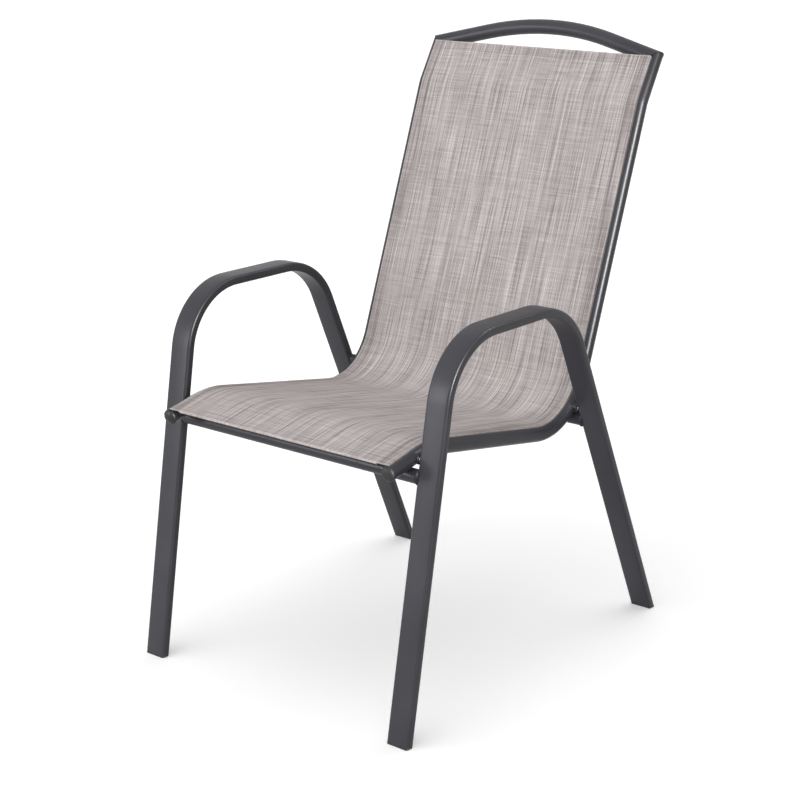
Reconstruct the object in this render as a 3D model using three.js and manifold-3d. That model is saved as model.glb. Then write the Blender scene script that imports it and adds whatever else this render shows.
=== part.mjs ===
// A sling patio chair. Two flat tubes, each bent into front leg, arm and rear leg, carry a pair of
// slotted round rails, and one piece of woven mesh is stretched between the rails as seat and back.
// Millimetres, +Z up. The front is at -Y and the sitter's left at +X.
import * as THREE from "three";
import { mergeVertices } from "three/addons/utils/BufferGeometryUtils.js";
import Module from "manifold-3d";

const wasm = await Module();
wasm.setup();

// Shared fits and fineness
const TOUCH_GAP = 0.3; // left between two pieces that touch
const CUT_OVERRUN = 20; // how far a tube or a drill runs past the face that it meets
const CHORD_ERROR = 0.4; // between a bend and the straight steps that stand for it
const SEARCH_ERROR = 0.003; // of a place that is found by halving

// Side loops
const LOOP_WIDTH = 40; // of the flat tube, across the chair
const LOOP_DEPTH = 15; // of the flat tube, in the plane of its bends
const LOOP_WALL = 1.5;
const LOOP_CORNER = 4.5; // outer corner radius of the flat tube
const ARM_HEIGHT = 592.9; // of the centreline, where the front leg's line meets the arm's
const ARM_LENGTH = 291.5; // between the two corners that the bends round off
const ARM_FALL_DEG = 0.49; // towards the back
const FRONT_LEG_LEAN_DEG = 9.8; // from upright, top towards the back
const REAR_LEG_SPLAY_DEG = 24.8; // from upright, foot towards the back
const FRONT_BEND_RADIUS = 110;
const REAR_BEND_RADIUS = 120;
const LOOP_GAP = 6.4; // between an arm's inner face and the rail's side, seen from above
const FRONT_TOE_IN = 4.4; // a front foot stands this much nearer the middle than its arm
const REAR_SPREAD = 6.8; // a rear foot stands this much further out than its arm

// Seat rails
const RAIL_SPACING = 437.2;
const RAIL_DIAMETER = 24;
const RAIL_WALL = 1.5;
const SLOT_PLAY = 1; // each side of the fabric in the slot along the rail's top
const RAIL_SETBACK = 17.4; // of the rail's front end, behind the front foot's centre
const RAIL_FRONT_HEIGHT = 409;
const LIP_RUN = 86.4; // each run is measured between the corners that the bends round off
const LIP_RISE_DEG = 11.5;
const SEAT_RUN = 385.4;
const SEAT_FALL_DEG = 10.4;
const BACK_RUN = 544.2;
const BACK_RISE_DEG = 69.9;
const HEAD_RUN = 78.2;
const HEAD_RISE_DEG = 59;
const LIP_BEND_RADIUS = 150;
const SEAT_BEND_RADIUS = 111.9;
const HEAD_BEND_RADIUS = 59.3;

// Top arch, in the plane of the rails' head runs
const ARCH_DIAMETER = 25;
const ARCH_WALL = 1.5;
const ARCH_SLOPE_DEG = 15; // of its straight ends
const ARCH_BEND_RADIUS = 480;

// Crossbars
const BAR_DIAMETER = 22;
const BAR_WALL = 1.5;
const FRONT_BAR_CLEARANCE = 1.8; // between the bar and the rail over it
const REAR_BAR_CLEARANCE = 0.5;

// Sling and the rods in its hem pockets
const FABRIC_THICKNESS = 1;
const FABRIC_LIFT = 0.5; // of the fabric over the rails' top
const SLING_FRONT_SETBACK = 2.5; // from the rails' front ends
const ARCH_PLAY = 0.75; // between the fabric's top hem and the arch, along the rails
const SPLINE_DIAMETER = 5;
const SPLINE_SETBACK = 6; // from both ends of a rail

// Rail end caps
const CAP_HEAD = 6.5;
const CAP_EDGE = 6; // rounding of the head
const CAP_STEM = 18;

// Foot caps
const FOOT_HEIGHT = 3.5; // of the part that shows under the leg
const FOOT_EDGE = 1;
const FOOT_PLUG = 22;

// Fasteners at each crossing of a rail and a leg
const BOLT_DIAMETER = 6;
const BOLT_LENGTH = 45;
const BOLT_HEAD_DIAMETER = 10.5;
const BOLT_HEAD_HEIGHT = 3.3;
const BOLT_CROWN = 1; // of the domed head
const SOCKET_WIDTH = 4.6; // across the corners of the hexagon
const SOCKET_DEPTH = 1.8;
const WASHER_DIAMETER = 12.5;
const WASHER_THICKNESS = 1.2;
const SPACER_DIAMETER = 16;
const INSERT_LENGTH = 16;
const INSERT_WALL = 0.8;
const INSERT_FLANGE_DIAMETER = 12;
const INSERT_FLANGE = 1;

// Segments in a full turn
const TUBE_SEGMENTS = 18;
const SMALL_SEGMENTS = 14;
const SPLINE_SEGMENTS = 8;
const CORNER_SEGMENTS = 3;

const FULLEST_CORNER_SHARE = 0.95; // of a flat tube's half depth, for its corner radius

// Sizes that follow from the ones above
const radians = THREE.MathUtils.degToRad;
const RAIL_X = RAIL_SPACING / 2;
const RAIL_RADIUS = RAIL_DIAMETER / 2;
const POCKET_BORE = SPLINE_DIAMETER / 2 + TOUCH_GAP;
const POCKET_RADIUS = POCKET_BORE + FABRIC_THICKNESS;
const POCKET_RISE = RAIL_RADIUS - RAIL_WALL - TOUCH_GAP - POCKET_RADIUS; // over the rail's centre
const BOLT_HOLE_RADIUS = BOLT_DIAMETER / 2 + TOUCH_GAP;
const UNDER_POCKET = POCKET_RISE - POCKET_RADIUS - TOUCH_GAP; // highest level free under the pocket
const BOLT_RISE = UNDER_POCKET - BOLT_HOLE_RADIUS; // over the rail's centre, so below it if negative
const INSERT_RADIUS = BOLT_HOLE_RADIUS + INSERT_WALL;
const LOOP_SPACING = RAIL_SPACING + RAIL_DIAMETER + 2 * LOOP_GAP + LOOP_WIDTH;
const LOOP_ROUNDING = Math.min(LOOP_CORNER, (FULLEST_CORNER_SHARE * LOOP_DEPTH) / 2);
const FABRIC_UNDERSIDE = RAIL_RADIUS + FABRIC_LIFT; // over the rail's centre
const ARCH_REACH = ARCH_DIAMETER / 2 + TOUCH_GAP;
const ARCH_OVERHANG = Math.sqrt(Math.max(0, ARCH_REACH ** 2 - FABRIC_UNDERSIDE ** 2));
const SLING_TOP_SETBACK = ARCH_OVERHANG + ARCH_PLAY; // from the rails' top corners
const CUT_SPAN = 4 * (LOOP_SPACING + ARM_HEIGHT); // wider than the whole chair

const STEEL_PAINT = { color: 0x4b4b50, roughness: 0.42, metalness: 0.3 };
const FABRIC = { color: 0xb7acaa, roughness: 0.85, metalness: 0 };
const BLACK_PLASTIC = { color: 0x242426, roughness: 0.55, metalness: 0 };
const ROD_PLASTIC = { color: 0xcfcfca, roughness: 0.5, metalness: 0 };
const ZINC_STEEL = { color: 0xb4b6b8, roughness: 0.35, metalness: 0.9 };

const SIDES = [
  { name: "left", sign: 1 },
  { name: "right", sign: -1 },
];

// A tube's centreline: straight runs between corners, each corner rounded to its bend radius. Its
// parameter counts the stations evenly, one at each end of a run and a few around each bend, so
// that a sweep has no more rings than it needs.
class BentPath extends THREE.Curve {
  constructor(corners, bendRadii = []) {
    super();
    const runs = corners.slice(1).map((corner, i) => corner.clone().sub(corners[i]).normalize());
    this.stations = [{ point: corners[0], tangent: runs[0] }];
    bendRadii.forEach((radius, i) => this.addBend(corners[i + 1], runs[i], runs[i + 1], radius));
    this.stations.push({ point: corners.at(-1), tangent: runs.at(-1) });
  }

  addBend(corner, into, out, radius) {
    const turn = into.angleTo(out);
    const axis = new THREE.Vector3().crossVectors(into, out).normalize();
    const inward = new THREE.Vector3().crossVectors(axis, into);
    const start = corner.clone().addScaledVector(into, -radius * Math.tan(turn / 2));
    const centre = start.addScaledVector(inward, radius);
    const steps = Math.ceil(turn / (2 * Math.acos(1 - CHORD_ERROR / radius)));
    for (let i = 0; i <= steps; i++) {
      const angle = (turn * i) / steps;
      const spoke = inward.clone().applyAxisAngle(axis, angle);
      this.stations.push({
        point: centre.clone().addScaledVector(spoke, -radius),
        tangent: into.clone().applyAxisAngle(axis, angle),
      });
    }
  }

  get steps() {
    return this.stations.length - 1;
  }

  // The value between two stations at t, from 0 to 1 along the whole path.
  between(t, key, target) {
    const place = t * this.steps;
    const before = Math.min(Math.floor(place), this.steps - 1);
    const after = this.stations[before + 1];
    return target.lerpVectors(this.stations[before][key], after[key], place - before);
  }

  getPoint(t, target = new THREE.Vector3()) {
    return this.between(t, "point", target);
  }

  getTangent(t, target = new THREE.Vector3()) {
    return this.between(t, "tangent", target).normalize();
  }

  getPointAt(u, target) {
    return this.getPoint(u, target);
  }

  getTangentAt(u, target) {
    return this.getTangent(u, target);
  }
}

// Outlines, as lists of points that run anticlockwise

function arc(x, y, radius, from, to, segments) {
  const points = [];
  for (let i = 0; i <= segments; i++) {
    const angle = from + ((to - from) * i) / segments;
    points.push(new THREE.Vector2(x + radius * Math.cos(angle), y + radius * Math.sin(angle)));
  }
  return points;
}

function circle(radius, segments, x = 0, y = 0) {
  return arc(x, y, radius, 0, 2 * Math.PI, segments).slice(0, -1);
}

function roundedRectangle(width, depth, corner) {
  const points = [];
  for (let quarter = 0; quarter < 4; quarter++) {
    const x = (width / 2 - corner) * (quarter === 0 || quarter === 3 ? 1 : -1);
    const y = (depth / 2 - corner) * (quarter < 2 ? 1 : -1);
    const from = (quarter * Math.PI) / 2;
    points.push(...arc(x, y, corner, from, from + Math.PI / 2, CORNER_SEGMENTS));
  }
  return points;
}

function shapeOf(outline, holes = []) {
  const shape = new THREE.Shape(outline);
  shape.holes = holes.map((hole) => new THREE.Path(hole));
  return shape;
}

// A shape swept along a path. On a path in a side view, the shape's y is square to the path
// and upwards, and its x runs across the chair.
function sweep(shape, path) {
  return new THREE.ExtrudeGeometry(shape, { steps: path.steps, extrudePath: path });
}

// Solids that are cut or joined

function toSolid(geometry) {
  const bare = geometry.clone();
  bare.deleteAttribute("normal");
  bare.deleteAttribute("uv");
  const merged = mergeVertices(bare);
  return new wasm.Manifold(
    new wasm.Mesh({
      numProp: 3,
      vertProperties: merged.attributes.position.array,
      triVerts: new Uint32Array(merged.index.array),
    }),
  );
}

function toGeometry(solid) {
  const mesh = solid.getMesh();
  const geometry = new THREE.BufferGeometry();
  geometry.setAttribute("position", new THREE.BufferAttribute(mesh.vertProperties, 3));
  geometry.setIndex(new THREE.BufferAttribute(mesh.triVerts, 1));
  const flat = geometry.toNonIndexed();
  flat.computeVertexNormals();
  return flat;
}

// Everything on the side of a plane that its normal points to.
function halfSpace(point, normal) {
  const box = new THREE.BoxGeometry(CUT_SPAN, CUT_SPAN, CUT_SPAN);
  const up = new THREE.Vector3(0, 0, 1);
  box.applyQuaternion(new THREE.Quaternion().setFromUnitVectors(up, normal));
  const centre = point.clone().addScaledVector(normal, CUT_SPAN / 2);
  box.translate(centre.x, centre.y, centre.z);
  return toSolid(box);
}

function below(height) {
  return halfSpace(new THREE.Vector3(0, 0, height), new THREE.Vector3(0, 0, -1));
}

// A cylinder across the chair, between two distances from its middle on one side.
function drill(radius, sign, from, to, place) {
  const cylinder = new THREE.CylinderGeometry(radius, radius, to - from, TUBE_SEGMENTS);
  cylinder.rotateZ(Math.PI / 2);
  cylinder.translate((sign * (from + to)) / 2, place.y, place.z);
  return toSolid(cylinder);
}

// The frame's lines in the side view

const SIDE_VIEW_KNEES = [
  new THREE.Vector3(0, ARM_HEIGHT * Math.tan(radians(FRONT_LEG_LEAN_DEG)), ARM_HEIGHT),
];
SIDE_VIEW_KNEES.push(
  SIDE_VIEW_KNEES[0]
    .clone()
    .add(
      new THREE.Vector3(
        0,
        ARM_LENGTH * Math.cos(radians(ARM_FALL_DEG)),
        -ARM_LENGTH * Math.sin(radians(ARM_FALL_DEG)),
      ),
    ),
);

// A leg's centreline, from the floor to the corner that its bend rounds off.
function legLine(sign, end) {
  const knee = SIDE_VIEW_KNEES[end === "front" ? 0 : 1].clone();
  knee.x = (sign * LOOP_SPACING) / 2;
  const rearRun = knee.z * Math.tan(radians(REAR_LEG_SPLAY_DEG));
  const foot =
    end === "front"
      ? new THREE.Vector3(knee.x - sign * FRONT_TOE_IN, 0, 0)
      : new THREE.Vector3(knee.x + sign * REAR_SPREAD, knee.y + rearRun, 0);
  return new THREE.Line3(foot, knee);
}

function pointAtHeight(leg, height) {
  return leg.at(height / leg.end.z, new THREE.Vector3());
}

function direction(line) {
  return line.delta(new THREE.Vector3()).normalize();
}

// How far out the inner face of a leg is at one height.
function innerFace(leg, height) {
  return Math.abs(pointAtHeight(leg, height).x) - LOOP_WIDTH / 2;
}

// A rail's centreline. Each end can stop short of the rail's own end, or run past it.
function railPath(x, frontSetback = 0, topSetback = 0) {
  const runs = [LIP_RUN - frontSetback, SEAT_RUN, BACK_RUN, HEAD_RUN - topSetback];
  const rises = [LIP_RISE_DEG, -SEAT_FALL_DEG, BACK_RISE_DEG, HEAD_RISE_DEG].map(radians);
  const corner = new THREE.Vector3(x, RAIL_SETBACK, RAIL_FRONT_HEIGHT);
  corner.y += frontSetback * Math.cos(rises[0]);
  corner.z += frontSetback * Math.sin(rises[0]);
  const corners = [corner];
  runs.forEach((run, i) => {
    const step = new THREE.Vector3(0, Math.cos(rises[i]), Math.sin(rises[i]));
    corners.push(corners[i].clone().addScaledVector(step, run));
  });
  return new BentPath(corners, [LIP_BEND_RADIUS, SEAT_BEND_RADIUS, HEAD_BEND_RADIUS]);
}

// Where a rail's centreline passes a leg's in the side view, with the rail's direction there.
function crossing(leg) {
  const along = direction(leg);
  const side = (point) =>
    (point.y - leg.start.y) * along.z - (point.z - leg.start.z) * along.y;
  const { stations } = railPath(RAIL_X);
  const next = stations.findIndex(
    ({ point }, i) => i > 0 && side(stations[i - 1].point) <= 0 !== side(point) <= 0,
  );
  const [before, after] = [stations[next - 1], stations[next]];
  const share = side(before.point) / (side(before.point) - side(after.point));
  return {
    point: before.point.clone().lerp(after.point, share),
    tangent: before.tangent.clone().lerp(after.tangent, share).normalize(),
  };
}

// The bolt's place in the side view, just under the hem pocket in the rail.
function boltPlace(leg) {
  const { point, tangent } = crossing(leg);
  const up = new THREE.Vector3(0, -tangent.z, tangent.y);
  return point.addScaledVector(up, BOLT_RISE);
}

// The place on a leg's centreline, below the rail, that is one distance from the rail's centreline.
function barPlace(leg, distance) {
  const { stations } = railPath(leg.start.x);
  const railDistance = (place) =>
    Math.min(
      ...stations.slice(1).map(({ point }, i) => {
        const run = new THREE.Line3(stations[i].point, point);
        const nearest = run.closestPointToPoint(place, true, new THREE.Vector3());
        return Math.hypot(nearest.y - place.y, nearest.z - place.z);
      }),
    );
  let low = 0;
  let high = crossing(leg).point.z;
  while (high - low > SEARCH_ERROR) {
    const middle = (low + high) / 2;
    if (railDistance(pointAtHeight(leg, middle)) > distance) low = middle;
    else high = middle;
  }
  return pointAtHeight(leg, low);
}

// Pieces

const chair = new THREE.Group();

function addPiece(name, geometry, finish) {
  const mesh = new THREE.Mesh(geometry, new THREE.MeshStandardMaterial(finish));
  mesh.name = name;
  chair.add(mesh);
  return mesh;
}

const LOOP_INNER_CORNER = LOOP_ROUNDING - LOOP_WALL;
const LOOP_BORE_WIDTH = LOOP_WIDTH - 2 * LOOP_WALL;
const LOOP_BORE_DEPTH = LOOP_DEPTH - 2 * LOOP_WALL;

// One flat tube, cut level over its two foot caps and drilled for its two threaded inserts.
function sideLoop(sign) {
  const legs = ["front", "rear"].map((end) => legLine(sign, end));
  const [frontEnd, rearEnd] = legs.map((leg) =>
    leg.start.clone().addScaledVector(direction(leg), -CUT_OVERRUN),
  );
  const path = new BentPath(
    [frontEnd, legs[0].end, legs[1].end, rearEnd],
    [FRONT_BEND_RADIUS, REAR_BEND_RADIUS],
  );
  const outline = roundedRectangle(LOOP_WIDTH, LOOP_DEPTH, LOOP_ROUNDING);
  const bore = roundedRectangle(LOOP_BORE_WIDTH, LOOP_BORE_DEPTH, LOOP_INNER_CORNER);
  let loop = toSolid(sweep(shapeOf(outline, [bore]), path));
  loop = loop.subtract(below(FOOT_HEIGHT + TOUCH_GAP));
  legs.forEach((leg) => {
    const place = boltPlace(leg);
    const face = innerFace(leg, place.z);
    const depth = INSERT_LENGTH + TOUCH_GAP;
    const hole = drill(INSERT_RADIUS + TOUCH_GAP, sign, face - CUT_OVERRUN, face + depth, place);
    loop = loop.subtract(hole);
  });
  return toGeometry(loop);
}

// A round tube between the inner faces of a pair of legs.
function crossbar(end, clearance) {
  const leg = legLine(1, end);
  const radius = BAR_DIAMETER / 2;
  const place = barPlace(leg, RAIL_RADIUS + radius + clearance);
  const faces = [innerFace(leg, place.z - radius), innerFace(leg, place.z + radius)];
  const reach = Math.min(...faces) - TOUCH_GAP;
  const path = new BentPath([
    new THREE.Vector3(-reach, place.y, place.z),
    new THREE.Vector3(reach, place.y, place.z),
  ]);
  const bore = circle(radius - BAR_WALL, TUBE_SEGMENTS);
  return sweep(shapeOf(circle(radius, TUBE_SEGMENTS), [bore]), path);
}

// A rail's tube in section, open at the top.
function railOutline() {
  const bore = RAIL_RADIUS - RAIL_WALL;
  const halfSlot = FABRIC_THICKNESS + SLOT_PLAY; // the fabric is double there
  const outerHalf = Math.asin(halfSlot / RAIL_RADIUS);
  const innerHalf = Math.asin(halfSlot / bore);
  const top = Math.PI / 2;
  const round = 2 * Math.PI;
  return [
    ...arc(0, 0, RAIL_RADIUS, top + outerHalf, top + round - outerHalf, TUBE_SEGMENTS),
    ...arc(0, 0, bore, top + round - innerHalf, top + innerHalf, TUBE_SEGMENTS),
  ];
}

// From a rail's top corner along the arch, in the plane of the head runs.
function archDirection(sign, headTangent) {
  const slope = radians(ARCH_SLOPE_DEG);
  const rise = headTangent.clone().multiplyScalar(Math.sin(slope));
  return rise.add(new THREE.Vector3(-sign * Math.cos(slope), 0, 0));
}

// The plane that both a rail and the arch are cut along, half a gap apart, where they meet.
function mitre(sign, gapSign) {
  const { point, tangent } = railPath(sign * RAIL_X).stations.at(-1);
  const archward = archDirection(sign, tangent);
  const normal = tangent.clone().add(archward).normalize().multiplyScalar(gapSign);
  return halfSpace(point.clone().addScaledVector(normal, -TOUCH_GAP / 2), normal);
}

function seatRail(sign) {
  const path = railPath(sign * RAIL_X, 0, -CUT_OVERRUN);
  let tube = toSolid(sweep(shapeOf(railOutline()), path)).subtract(mitre(sign, 1));
  const reach = RAIL_RADIUS + CUT_OVERRUN;
  ["front", "rear"].forEach((end) => {
    const place = boltPlace(legLine(sign, end));
    const hole = drill(BOLT_HOLE_RADIUS, sign, RAIL_X - reach, RAIL_X + reach, place);
    tube = tube.subtract(hole);
  });
  return toGeometry(tube);
}

function topArch() {
  const { point, tangent } = railPath(0).stations.at(-1);
  const ends = SIDES.map(({ sign }) => {
    const corner = new THREE.Vector3(sign * RAIL_X, point.y, point.z);
    return corner.addScaledVector(archDirection(sign, tangent), -CUT_OVERRUN);
  });
  const apexRise = RAIL_X * Math.tan(radians(ARCH_SLOPE_DEG));
  const apex = point.clone().addScaledVector(tangent, apexRise);
  const path = new BentPath([ends[0], apex, ends[1]], [ARCH_BEND_RADIUS]);
  const radius = ARCH_DIAMETER / 2;
  const bore = circle(radius - ARCH_WALL, TUBE_SEGMENTS);
  const tube = toSolid(sweep(shapeOf(circle(radius, TUBE_SEGMENTS), [bore]), path));
  return toGeometry(tube.subtract(mitre(1, -1)).subtract(mitre(-1, -1)));
}

// One edge of the fabric in section, from its underside round the hem pocket to the fold on top.
function hemOutline() {
  const half = FABRIC_THICKNESS; // two layers lie together in the slot
  const neck = Math.asin(half / POCKET_RADIUS);
  const [from, to] = [Math.PI / 2 + neck, Math.PI / 2 + 2 * Math.PI - neck];
  return [
    new THREE.Vector2(RAIL_X - half, FABRIC_UNDERSIDE),
    ...arc(RAIL_X, POCKET_RISE, POCKET_RADIUS, from, to, SMALL_SEGMENTS),
    ...arc(RAIL_X, FABRIC_UNDERSIDE, FABRIC_THICKNESS, 0, Math.PI / 2, CORNER_SEGMENTS),
  ];
}

// The whole width of the fabric, swept along the rails' line between them.
function sling() {
  const edge = hemOutline();
  const otherEdge = edge.map(({ x, y }) => new THREE.Vector2(-x, y)).reverse();
  const pockets = SIDES.map(({ sign }) =>
    circle(POCKET_BORE, SPLINE_SEGMENTS, sign * RAIL_X, POCKET_RISE),
  );
  const path = railPath(0, SLING_FRONT_SETBACK, SLING_TOP_SETBACK);
  return sweep(shapeOf([...edge, ...otherEdge], pockets), path);
}

function spline(sign) {
  const rod = circle(SPLINE_DIAMETER / 2, SPLINE_SEGMENTS, 0, POCKET_RISE);
  return sweep(shapeOf(rod), railPath(sign * RAIL_X, SPLINE_SETBACK, SPLINE_SETBACK));
}

// A plug for a rail's front end: local Y runs into the rail, and local Z is square to it, upwards.
function railCap() {
  const [x, y] = [RAIL_RADIUS - CAP_EDGE, CAP_EDGE - CAP_HEAD];
  const profile = [
    new THREE.Vector2(0, -CAP_HEAD),
    ...arc(x, y, CAP_EDGE, -Math.PI / 2, 0, CORNER_SEGMENTS),
    new THREE.Vector2(RAIL_RADIUS, 0),
    new THREE.Vector2(0, 0),
  ];
  const head = toSolid(new THREE.LatheGeometry(profile, TUBE_SEGMENTS));
  const radius = RAIL_RADIUS - RAIL_WALL - TOUCH_GAP;
  const level = Math.asin(UNDER_POCKET / radius);
  const outline = arc(0, 0, radius, -level, Math.PI + level, TUBE_SEGMENTS);
  const rooted = CAP_HEAD / 2;
  const stem = new THREE.ExtrudeGeometry(shapeOf(outline), {
    depth: rooted + CAP_STEM,
    bevelEnabled: false,
  });
  stem.rotateX(-Math.PI / 2);
  stem.translate(0, -rooted, 0);
  return toGeometry(head.add(toSolid(stem)));
}

// A foot for one leg: a level pad as large as the leg's cut end, with a plug up into the leg.
function footCap(leg) {
  const along = direction(leg);
  const legDepth = LOOP_DEPTH / Math.cos(Math.atan2(along.y, along.z));
  const pad = new THREE.ExtrudeGeometry(
    shapeOf(roundedRectangle(LOOP_WIDTH, legDepth, LOOP_ROUNDING)),
    {
      depth: FOOT_HEIGHT - 2 * FOOT_EDGE,
      bevelThickness: FOOT_EDGE,
      bevelSize: FOOT_EDGE,
      bevelOffset: -FOOT_EDGE,
      bevelSegments: CORNER_SEGMENTS - 1,
    },
  );
  pad.translate(0, 0, FOOT_EDGE);
  const shear = new THREE.Matrix4();
  pad.applyMatrix4(shear.makeShear(0, 0, 0, 0, along.x / along.z, along.y / along.z));
  const plugOutline = roundedRectangle(
    LOOP_BORE_WIDTH - 2 * TOUCH_GAP,
    LOOP_BORE_DEPTH - 2 * TOUCH_GAP,
    LOOP_INNER_CORNER - TOUCH_GAP,
  );
  const plugPath = new BentPath([
    along.clone().multiplyScalar(-CUT_OVERRUN),
    along.clone().multiplyScalar(FOOT_HEIGHT + FOOT_PLUG),
  ]);
  const plug = toSolid(sweep(shapeOf(plugOutline), plugPath)).subtract(below(FOOT_HEIGHT / 2));
  return toGeometry(plug.add(toSolid(pad)));
}

// A ring about local Y.
function ring(outer, inner, from, to) {
  const profile = [
    [inner, from],
    [outer, from],
    [outer, to],
    [inner, to],
    [inner, from],
  ].map(([radius, y]) => new THREE.Vector2(radius, y));
  return new THREE.LatheGeometry(profile, SMALL_SEGMENTS);
}

// A button-head bolt about local Y, with its shank from 0 upwards and its head below.
function bolt() {
  const radius = BOLT_DIAMETER / 2;
  const profile = [
    [0, -BOLT_HEAD_HEIGHT],
    [BOLT_HEAD_DIAMETER / 2 - BOLT_CROWN, -BOLT_HEAD_HEIGHT],
    [BOLT_HEAD_DIAMETER / 2, BOLT_CROWN - BOLT_HEAD_HEIGHT],
    [BOLT_HEAD_DIAMETER / 2, 0],
    [radius, 0],
    [radius, BOLT_LENGTH],
    [0, BOLT_LENGTH],
  ].map(([x, y]) => new THREE.Vector2(x, y));
  const body = toSolid(new THREE.LatheGeometry(profile, SMALL_SEGMENTS));
  const socket = new THREE.CylinderGeometry(SOCKET_WIDTH / 2, SOCKET_WIDTH / 2, 2 * SOCKET_DEPTH, 6);
  socket.translate(0, -BOLT_HEAD_HEIGHT, 0);
  return toGeometry(body.subtract(toSolid(socket)));
}

// The fasteners of one crossing, stacked outwards from the rail's inner side into the leg.
function addFasteners(sign, end, name) {
  const leg = legLine(sign, end);
  const place = boltPlace(leg);
  const face = innerFace(leg, place.z);
  const washerAt = RAIL_X - RAIL_RADIUS - TOUCH_GAP - WASHER_THICKNESS;
  const flangeAt = face - TOUCH_GAP - INSERT_FLANGE;
  const seat = (mesh, x) => {
    mesh.rotation.z = (-sign * Math.PI) / 2;
    mesh.position.set(sign * x, place.y, place.z);
  };

  seat(addPiece(`bolt_${name}`, bolt(), ZINC_STEEL), washerAt - TOUCH_GAP);
  const washer = ring(WASHER_DIAMETER / 2, BOLT_HOLE_RADIUS, 0, WASHER_THICKNESS);
  seat(addPiece(`washer_${name}`, washer, ZINC_STEEL), washerAt);

  const insert = toSolid(ring(INSERT_FLANGE_DIAMETER / 2, BOLT_HOLE_RADIUS, 0, INSERT_FLANGE)).add(
    toSolid(ring(INSERT_RADIUS, BOLT_HOLE_RADIUS, 0, INSERT_FLANGE + INSERT_LENGTH)),
  );
  seat(addPiece(`threaded_insert_${name}`, toGeometry(insert), ZINC_STEEL), flangeAt);

  const rounded = circle(RAIL_RADIUS + TOUCH_GAP, 2 * TUBE_SEGMENTS);
  const saddle = toSolid(sweep(shapeOf(rounded), railPath(sign * RAIL_X)));
  const spacer = drill(SPACER_DIAMETER / 2, sign, RAIL_X, flangeAt - TOUCH_GAP, place)
    .subtract(drill(BOLT_HOLE_RADIUS, sign, RAIL_X - CUT_OVERRUN, face, place))
    .subtract(saddle);
  addPiece(`spacer_${name}`, toGeometry(spacer), BLACK_PLASTIC);
}

SIDES.forEach(({ name, sign }) => {
  addPiece(`side_loop_${name}`, sideLoop(sign), STEEL_PAINT);
  addPiece(`seat_rail_${name}`, seatRail(sign), STEEL_PAINT);
  addPiece(`spline_${name}`, spline(sign), ROD_PLASTIC);
  const front = railPath(sign * RAIL_X).stations[0];
  const outward = front.tangent.clone().multiplyScalar(-TOUCH_GAP);
  const cap = addPiece(`rail_end_cap_${name}`, railCap(), BLACK_PLASTIC);
  cap.position.copy(front.point).add(outward);
  cap.rotation.x = radians(LIP_RISE_DEG);
  ["front", "rear"].forEach((end) => {
    const leg = legLine(sign, end);
    addPiece(`foot_cap_${end}_${name}`, footCap(leg), BLACK_PLASTIC).position.copy(leg.start);
    addFasteners(sign, end, `${end}_${name}`);
  });
});
addPiece("front_crossbar", crossbar("front", FRONT_BAR_CLEARANCE), STEEL_PAINT);
addPiece("rear_crossbar", crossbar("rear", REAR_BAR_CLEARANCE), STEEL_PAINT);
addPiece("top_arch", topArch(), STEEL_PAINT);
addPiece("sling", sling(), FABRIC);

// The origin is on the floor, in the middle of the chair's overall width and depth.
const extent = new THREE.Box3().setFromObject(chair);
chair.position.y = -(extent.min.y + extent.max.y) / 2;

export default chair;
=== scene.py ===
import math

import bmesh
import bpy
from mathutils import Matrix, Vector


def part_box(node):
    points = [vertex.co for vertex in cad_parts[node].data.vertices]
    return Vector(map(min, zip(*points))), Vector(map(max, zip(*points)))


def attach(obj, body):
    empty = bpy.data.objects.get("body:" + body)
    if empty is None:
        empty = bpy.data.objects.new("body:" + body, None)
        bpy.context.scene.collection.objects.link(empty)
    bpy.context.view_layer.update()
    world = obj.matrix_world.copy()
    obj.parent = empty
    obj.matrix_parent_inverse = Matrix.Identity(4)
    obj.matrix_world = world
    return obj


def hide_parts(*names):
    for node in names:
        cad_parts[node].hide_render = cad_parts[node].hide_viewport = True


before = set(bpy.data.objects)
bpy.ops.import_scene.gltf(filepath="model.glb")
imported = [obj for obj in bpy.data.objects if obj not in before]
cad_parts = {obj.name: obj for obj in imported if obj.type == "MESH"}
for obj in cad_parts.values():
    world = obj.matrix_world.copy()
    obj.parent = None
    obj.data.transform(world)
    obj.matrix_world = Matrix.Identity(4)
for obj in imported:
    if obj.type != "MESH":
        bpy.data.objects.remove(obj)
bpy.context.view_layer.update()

# A sling patio chair: two bent flat tubes as legs and arms, two slotted round rails between them, and
# one piece of woven mesh stretched between the rails. Metres, +Z up, the front at -Y and the sitter's
# left at +X. The sizes are the ones that the frame was drawn with.

MM = 0.001
QUARTER = math.pi / 2  # of a turn

# Side loops
LOOP_WIDTH = 40 * MM
LOOP_DEPTH = 15 * MM
LOOP_WALL = 1.5 * MM
LOOP_CORNER = 4.5 * MM
LOOP_SPACING = 514 * MM
FRONT_FOOT_Y = -367.38 * MM
ARM_HEIGHT = 592.9 * MM
ARM_LENGTH = 291.5 * MM
ARM_FALL = math.radians(0.49)
FRONT_LEG_LEAN = math.radians(9.8)
REAR_LEG_SPLAY = math.radians(24.8)
FRONT_BEND_RADIUS = 110 * MM
REAR_BEND_RADIUS = 120 * MM
FRONT_TOE_IN = 4.4 * MM
REAR_SPREAD = 6.8 * MM
LEG_OVERRUN = 20 * MM  # how far a leg is drawn past the floor before it is cut level

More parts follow.
